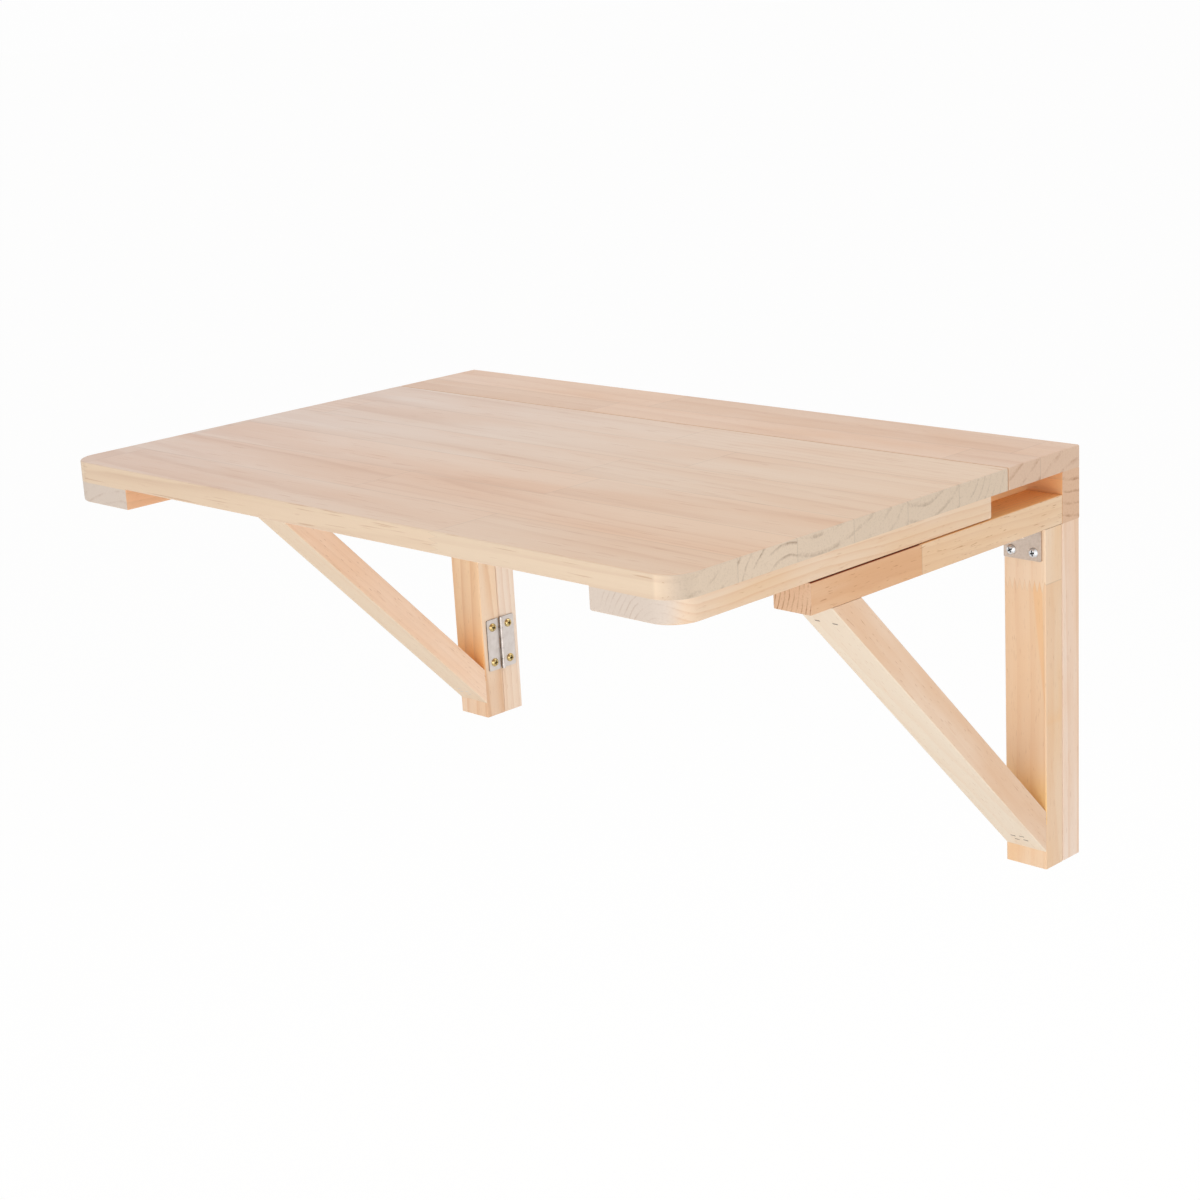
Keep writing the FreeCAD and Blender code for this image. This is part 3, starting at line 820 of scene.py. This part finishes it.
@dataclass(frozen=True)
class HingeScrews:
    """Where the butt hinges' screws sit, in millimetres: beside the posts' pins and under the seam."""

    length: float = 12.0
    out: float = 9.0
    beside: float = 15.5
    post_pin_y: float = -20.2
    post_pin_z: Span = (-80.2, -197.2)
    post_seat_x: float = 266.0
    seam_pin_x: float = 150.0
    seam_pin_y: float = -81.5
    seam_seat_z: float = 16.7

    def at_post(self, side: Side, way: int) -> list[Vec3]:
        """Seats in one row of hinge leaves at a post.

        Args:
            side: The end of the table.
            way: 1 for the leaves on the wall upright, -1 for those on the bracket.

        Returns:
            The middle of each head's underside.
        """
        x, y = side.value * self.post_seat_x, self.post_pin_y + way * self.out
        return [(x, y, z + turn * self.beside) for z in self.post_pin_z for turn in (-1, 1)]

    def at_seam(self, way: int) -> list[Vec3]:
        """Seats in the hinge leaves on one side of the seam.

        Args:
            way: 1 for the leaves under the strip, -1 for those under the drop leaf.

        Returns:
            The middle of each head's underside.
        """
        y = self.seam_pin_y + way * self.out
        return [(side.value * self.seam_pin_x + turn * self.beside, y, self.seam_seat_z)
                for side in Side for turn in (-1, 1)]


@dataclass
class Metals:
    """The metal finishes, each made once."""

    # Soft white metal, with painted shade on the edges that draws the hinge's outline
    hinge: Material = field(default_factory=MetalFinish(
        "hinge_satin_nickel_plated_steel", "#DED5CF", "#D4CAC3", 0.36, 6.0, cut_edge=0.4).material)
    # The same plating without the dull edges
    leaf_hinge: Material = field(default_factory=MetalFinish(
        "leaf_hinge_satin_nickel_plated_steel", "#DED5CF", "#D4CAC3", 0.36, 6.0).material)
    # A duller, warmer grey than the hinges, painted reflection of the darker wood and surroundings
    plate: Material = field(default_factory=MetalFinish(
        "plate_satin_nickel_plated_steel", "#D0C0B3", "#C6B6A8", 0.42).material)
    # Cool bright heads with dark crosses
    zinc: Material = field(default_factory=MetalFinish(
        "screw_bright_zinc_plated_steel", "#E9ECEF", "#DCE0E4", 0.34).material)
    # Pale brassy heads
    yellow: Material = field(default_factory=MetalFinish(
        "screw_yellow_chromated_steel", "#D9C48E", "#BFA368", 0.26).material)
    # Small dull grey brown marks in the wood
    brad: Material = field(default_factory=MetalFinish(
        "brad_plain_steel", "#968779", "#7D7066", 0.5).material)


@dataclass
class WallFrame:
    """The fixed strip, the rail and the wall uprights, in millimetres."""

    metals: Metals
    body: str = "wall_frame"
    screw: CrossScrew = CrossScrew()
    hinges: HingeScrews = HingeScrews()
    strip_screw_x: tuple[float, ...] = (-242.0, -242.0 / 3, 242.0 / 3, 242.0)
    strip_screw_seat: Span = (-10.0, -5.7)
    strip_screw_length: float = 34.0

    def build(self) -> None:
        """Build the frame's screws."""
        seats = [(x, *self.strip_screw_seat) for x in self.strip_screw_x]
        self.screw.piece("strip_screws", self.body, "zinc_screw", self.metals.zinc,
                         self.strip_screw_length, {(0, 0, -1): seats})
        for side in Side:
            self.screw.piece(side.word + "_wall_leaf_screws", self.body, "brass_screw", self.metals.yellow,
                             self.hinges.length, {(-side.value, 0, 0): self.hinges.at_post(side, 1)})
        self.screw.piece("strip_hinge_screws", self.body, "brass_screw", self.metals.yellow,
                         self.hinges.length, {(0, 0, -1): self.hinges.at_seam(1)})

    def dress(self) -> None:
        """Dress the frame's wood and the fixed hinge leaves."""
        # Rosy tan staves with soft bands, and a warm underside at the ends, painted bounced light in the
        # recess
        strip = WoodFinish("strip_edge_glued_pine", Grain.ALONG_WALL, 3.0, early="#DFC5B3", blush="#DBBAA2",
                           late="#C79C82", edge_share=0.5, contrast=0.22, figure=0.16, fibre=0.18,
                           glue_up=GlueUp(47.0, 0.1, 330.0, stagger=1.0), rings=Rings(11.0, 9.0),
                           cut_end=CutEnd("#D9BBA3", "#B38A6D", (0.7, 1.0)),
                           skin=Skin("#F6C18C", 0.6, (-7.3, -6.5), bare_half_mm=190.0),
                           sweep=Sweep("#FFFFFF", "#FEF9F2", (-300.0, -180.0)),
                           tone_spread=0.025, seam_mm=-40.5)
        strip.cover("top_strip")
        # Plain pine, painted orange at the ends of its front, painted bounced light in the recess, with brown
        # arcs on its ends
        rail = WoodFinish("rail_pine", Grain.ALONG_WALL, 12.0, early="#E9CFB4", blush="#E2C09C",
                          cut_end=CutEnd("#DBB698", "#A97C5C", (0.9, 1.0)),
                          skin=Skin("#F2B57A", 0.9, (-9.0, -7.0), Axis.ACROSS, bare_half_mm=190.0))
        rail.cover("wall_rail")
        for side in Side:
            # Pale pine with broad soft bands; the left one is painted paler, painted light for the shade
            # under the leaf
            node = side.word + "_wall_upright"
            left = side is Side.LEFT
            upright = WoodFinish(node + "_pine", Grain.UPRIGHT, 21.0 + side.value, rings=Rings(11.0),
                                 early="#F6E4D3" if left else "#EED9C8",
                                 blush="#F3D9BF" if left else "#EACBB2")
            upright.cover(node)
            for level in ("upper", "lower"):
                hinge = f"{side.word}_{level}_hinge_"
                dress([hinge + "wall_leaf", hinge + "pin"], self.metals.hinge)
            leaf_hinge = side.word + "_leaf_hinge_"
            dress([leaf_hinge + "strip_leaf", leaf_hinge + "pin"], self.metals.leaf_hinge)
        BEECH.cover("upright_dowels")


@dataclass
class DropLeaf:
    """The hinged leaf and its two end battens, in millimetres."""

    metals: Metals
    body: str = "drop_leaf"
    screw: CrossScrew = CrossScrew()
    hinges: HingeScrews = HingeScrews()
    batten_screw_x: float = 266.0
    batten_screw_y: tuple[float, ...] = (-360.0, -250.5, -141.0)
    batten_screw_z: float = 5.9
    batten_screw_length: float = 22.0

    def build(self) -> None:
        """Build the leaf's screws."""
        seats = [(side.value * self.batten_screw_x, y, self.batten_screw_z)
                 for side in Side for y in self.batten_screw_y]
        self.screw.piece("batten_screws", self.body, "zinc_screw", self.metals.zinc,
                         self.batten_screw_length, {(0, 0, -1): seats})
        self.screw.piece("leaf_hinge_screws", self.body, "brass_screw", self.metals.yellow,
                         self.hinges.length, {(0, 0, -1): self.hinges.at_seam(-1)})

    def dress(self) -> None:
        """Dress the leaf's wood and its hinge leaves."""
        # Pale rosy staves with faint lines and long flecks, greyer at the left end and yellower at the right,
        # with a front edge painted lighter as painted light, corners painted darker as painted shade, and
        # grey arcs on its ends
        panel = WoodFinish("leaf_edge_glued_pine", Grain.ALONG_WALL, 8.0, early="#E6D0C5", blush="#E2C4B4",
                           late="#CBA28D", edge="#F7E2CE", edge_share=0.8, contrast=0.15, figure=0.24,
                           fibre=0.18, drifts=replace(DRIFTS, size_mm=(260.0, 42.0, 42.0)),
                           flecks=replace(FLECKS, size_mm=(40.0, 1.3, 1.3), share=0.4),
                           fleck_tone="#BE8A68", glue_up=GlueUp(53.0, 0.0, 380.0, stagger=1.0),
                           rings=Rings(11.0, 9.0), cut_end=CutEnd("#DAC6B0", "#A08A76", (1.0, 0.45)),
                           sweep=Sweep("#F9FFFF", "#FDF7E4", top_only=True), stave_tan="#FCF5F0",
                           tone_spread=0.025, corner_tone=0.84, seam_mm=159.0)
        panel.cover("leaf_panel")
        for side in Side:
            # Plain pine with clear lines and grey ends; the left one's outer side is painted warm, painted
            # bounced light in its shade
            node = side.word + "_leaf_batten"
            shaded_side = Skin("#EFB688", 0.75, (-33.5, -32.0), Axis.ACROSS)
            batten = WoodFinish(node + "_pine", Grain.FROM_WALL, 31.0 + side.value, early="#E6CEB6",
                                blush="#E2C19E", figure=0.3, cut_end=CutEnd("#D2C3B6", "#BEAA9B"),
                                skin=shaded_side if side is Side.LEFT else None)
            batten.cover(node)
            dress([side.word + "_leaf_hinge_drop_leaf"], self.metals.leaf_hinge)


@dataclass
class FoldingBracket:
    """One folding bracket: upright, arm, brace and corner plate, in millimetres."""

    metals: Metals
    side: Side
    screw: CrossScrew = CrossScrew()
    hinges: HingeScrews = HingeScrews()
    plate_screw_x: Span = (273.9, 291.7)
    plate_front_y: float = -41.9
    plate_screw_z: float = -34.1
    plate_screw_y: float = -56.8
    plate_under_z: float = -19.2
    plate_screw_length: float = 16.0

    @property
    def body(self) -> str:
        """The CAD body of this bracket."""
        return self.side.word + "_bracket"

    @property
    def seed(self) -> float:
        """What the chances of this bracket's wood start from."""
        return 40.0 if self.side is Side.LEFT else 60.0

    def build(self) -> None:
        """Build the bracket's screws."""
        sign, word = self.side.value, self.side.word
        front = [(sign * x, self.plate_front_y, self.plate_screw_z) for x in self.plate_screw_x]
        under = [(sign * x, self.plate_screw_y, self.plate_under_z) for x in self.plate_screw_x]
        self.screw.piece(word + "_corner_plate_screws", self.body, "zinc_screw", self.metals.zinc,
                         self.plate_screw_length, {(0, -1, 0): front, (0, 0, -1): under})
        self.screw.piece(word + "_bracket_leaf_screws", self.body, "brass_screw", self.metals.yellow,
                         self.hinges.length, {(-sign, 0, 0): self.hinges.at_post(self.side, -1)})

    def upright(self) -> WoodFinish:
        """Pine with broad bands, and a warm front above the brace, painted light bounced off the brace.

        The left one is a single block, painted paler as painted light for the shade under the leaf, and with
        a greyer foot. The right one is two blocks with a yellow streak.

        Returns:
            The finish.
        """
        name = self.side.word + "_upright_finger_jointed_pine"
        shared = partial(WoodFinish, name, Grain.UPRIGHT, self.seed, late="#E0B186",
                         rings=Rings(11.0, lean=0.05), far_tint="#FDF7EF")
        if self.side is Side.LEFT:
            return shared(early="#F7E0C8", blush="#F5D2AC", contrast=0.65,
                          glow=FootGlow("#FFC580", "#F9D6AB", (-78.0, -20.0), top_share=0.6),
                          sweep=Sweep("#F3EBE5", "#FFFFFF", (-95.0, -70.0)))
        return shared(early="#EBD3BB", blush="#EAC7A1", contrast=0.3, pitch=PitchStreak(),
                      glue_up=GlueUp(block_start_mm=-85.0), glow=FootGlow("#FFDA99", "#FADFC1"))

    def arm(self) -> WoodFinish:
        """Two blocks with fine rings and brown flecks; the top is painted orange, painted bounced light in
        the recess, and dark brown at the front, painted shade under the batten.

        Returns:
            The finish.
        """
        return WoodFinish(self.side.word + "_arm_finger_jointed_pine", Grain.ARM, self.seed + 1,
                          early="#EBD0B2", blush="#E6C29C", flecks=replace(FLECKS, share=0.6),
                          glue_up=GlueUp(block_start_mm=18.0), rings=Rings(3.0),
                          cut_end=CutEnd("#E3CDB5", "#9E704C", (1.0, 1.0)), far_tint="#F5E4D7",
                          skin=Skin("#FDBE78", 0.95, (9.95, 9.6), Axis.ACROSS, far_tone="#9A3E0C"))

    def brace(self) -> WoodFinish:
        """Even pine with few bands; its sloping front is a greyer cream, painted light from below, and the
        left one is painted paler, painted light for the shade under the leaf.

        Returns:
            The finish.
        """
        left = self.side is Side.LEFT
        return WoodFinish(self.side.word + "_brace_pine", Grain.BRACE, self.seed + 2,
                          early="#F8DBC2" if left else "#E9CDB4", blush="#F4CDAC" if left else "#E3BE9E",
                          contrast=0.2, fibre=0.22, flecks=replace(FLECKS, share=0.4),
                          skin=Skin("#E6D2B8" if left else "#E8DAC6", 0.85, (0.3, 0.9)))

    def dress(self) -> None:
        """Dress the bracket's wood and steel."""
        word = self.side.word
        self.upright().cover(word + "_bracket_upright")
        self.arm().cover(word + "_bracket_arm")
        self.brace().cover(word + "_bracket_brace")
        peg = replace(BEECH, name=word + "_arm_dowel_beech", seed=self.seed + 3)
        peg.cover(word + "_arm_dowel")
        dress([word + "_corner_plate"], self.metals.plate)
        # The left brads are bright, as the left brace shows no marks
        brads = self.metals.leaf_hinge if self.side is Side.LEFT else self.metals.brad
        dress([word + "_brace_brads"], brads)
        dress([word + "_upper_hinge_bracket_leaf", word + "_lower_hinge_bracket_leaf"], self.metals.hinge)


@dataclass(frozen=True)
class Softbox:
    """A soft square lamp that faces the table: where it hangs, its side in metres and its power."""

    name: str
    at: Vec3
    side: float
    watts: float


@dataclass(frozen=True)
class Studio:
    """A wide pale floor, soft light from the front and all round, and the photo's camera, in metres."""

    floor_level: float = -0.75
    floor_half: float = 30.0
    paper: str = "#F4F3F1"
    paper_light: float = 0.68
    shadow_share: float = 0.12
    white: float = 0.985
    even_light: float = 0.74
    softboxes: tuple[Softbox, ...] = (
        Softbox("front_softbox", (0.2, -2.6, -0.2), 1.8, 14.0),
        Softbox("right_softbox", (2.6, -0.9, 0.0), 1.8, 7.0),
        Softbox("low_softbox", (1.4, -1.6, -0.5), 0.9, 8.0),
        Softbox("top_softbox", (0.05, 0.45, 1.4), 1.2, 6.0))
    target: Vec3 = (0.05, -0.2, -0.1)
    eye: Vec3 = (1.16266, -1.31196, 0.37385)
    yaw: float = -0.7909
    pitch: float = -0.2729
    roll: float = -0.0575
    lens_px: float = 2347.3
    frame_px: float = 1200.0
    sensor_mm: float = 36.0
    far_clip: float = 100.0

    def camera(self) -> None:
        """Place the camera where the photograph was taken from."""
        data = bpy.data.cameras.new("camera")
        data.sensor_width = self.sensor_mm
        data.lens = self.lens_px / self.frame_px * self.sensor_mm
        data.clip_end = self.far_clip
        level = Vector((math.sin(self.yaw), math.cos(self.yaw), 0.0))
        ahead = level * math.cos(self.pitch) + Vector((0, 0, math.sin(self.pitch)))
        right = Vector((math.cos(self.yaw), -math.sin(self.yaw), 0.0))
        top = right.cross(ahead)
        tilted_right = right * math.cos(self.roll) + top * math.sin(self.roll)
        tilted_top = top * math.cos(self.roll) - right * math.sin(self.roll)
        turn = Matrix((tilted_right, tilted_top, -ahead)).transposed()
        cam = bpy.data.objects.new("camera", data)
        cam.matrix_world = Matrix.Translation(self.eye) @ turn.to_4x4()
        bpy.context.collection.objects.link(cam)
        bpy.context.scene.camera = cam

    def seen(self, tree: Tree) -> Socket:
        """Where the camera, a reflection or a look through glass meets the surroundings.

        Args:
            tree: The node tree that takes the nodes.

        Returns:
            One for such rays, zero for light.
        """
        put = partial(add, tree)
        path = put("LightPath").node.outputs
        seen = put("Math", path["Is Camera Ray"], path["Is Glossy Ray"], operation="MAXIMUM")
        return put("Math", seen, path["Is Transmission Ray"], operation="MAXIMUM")

    def floor(self) -> None:
        """Lay a wide floor of matt paper that is seen as white with a faint shadow, and not from below."""
        half, z = self.floor_half, self.floor_level
        mesh = bpy.data.meshes.new("floor")
        corners = [(-half, -half, z), (half, -half, z), (half, half, z), (-half, half, z)]
        mesh.from_pydata(corners, [], [(0, 1, 2, 3)])
        obj = bpy.data.objects.new("floor", mesh)
        bpy.context.collection.objects.link(obj)
        mat, tree = blank_material("floor_white_paper")
        put = partial(add, tree)
        paper = put("BsdfDiffuse", linear(self.paper))
        rest = (self.white - self.shadow_share * self.paper_light) / (1 - self.shadow_share)
        glow = put("Emission", WHITE, rest)
        share = put("Math", self.seen(tree), 1 - self.shadow_share, operation="MULTIPLY")
        sheet = put("MixShader", share, paper, glow)
        below = put("NewGeometry", out="Backfacing")
        put("OutputMaterial", put("MixShader", below, sheet, put("BsdfTransparent")))
        mesh.materials.append(mat)

    def world(self) -> None:
        """Light the table evenly from all round, with white for the camera."""
        world = bpy.data.worlds.new("studio")
        bpy.context.scene.world = world
        world.use_nodes = True
        tree = world.node_tree
        tree.nodes.clear()
        level = add(tree, "MapRange", self.seen(tree), 0.0, 1.0, self.even_light, self.white)
        add(tree, "OutputWorld", add(tree, "Background", WHITE, level))

    def light(self) -> None:
        """Hang the softboxes."""
        for box in self.softboxes:
            data = bpy.data.lights.new(box.name, "AREA")
            data.size = box.side
            data.energy = box.watts
            lamp = bpy.data.objects.new(box.name, data)
            lamp.location = box.at
            towards = Vector(self.target) - Vector(box.at)
            lamp.rotation_euler = towards.to_track_quat("-Z", "Y").to_euler()
            bpy.context.collection.objects.link(lamp)

    def build(self) -> None:
        """Set up floor, light and camera."""
        self.floor()
        self.world()
        self.light()
        self.camera()
        bpy.context.scene.view_settings.view_transform = "Standard"
        LOG.info("studio ready")


def main() -> None:
    """Build and dress the table, then set up the studio."""
    metals = Metals()
    groups = [WallFrame(metals), DropLeaf(metals)] + [FoldingBracket(metals, side) for side in Side]
    for group in groups:
        group.build()
        group.dress()
    Studio().build()


if __name__ == "__main__":
    logging.basicConfig(level=logging.INFO)
    main()
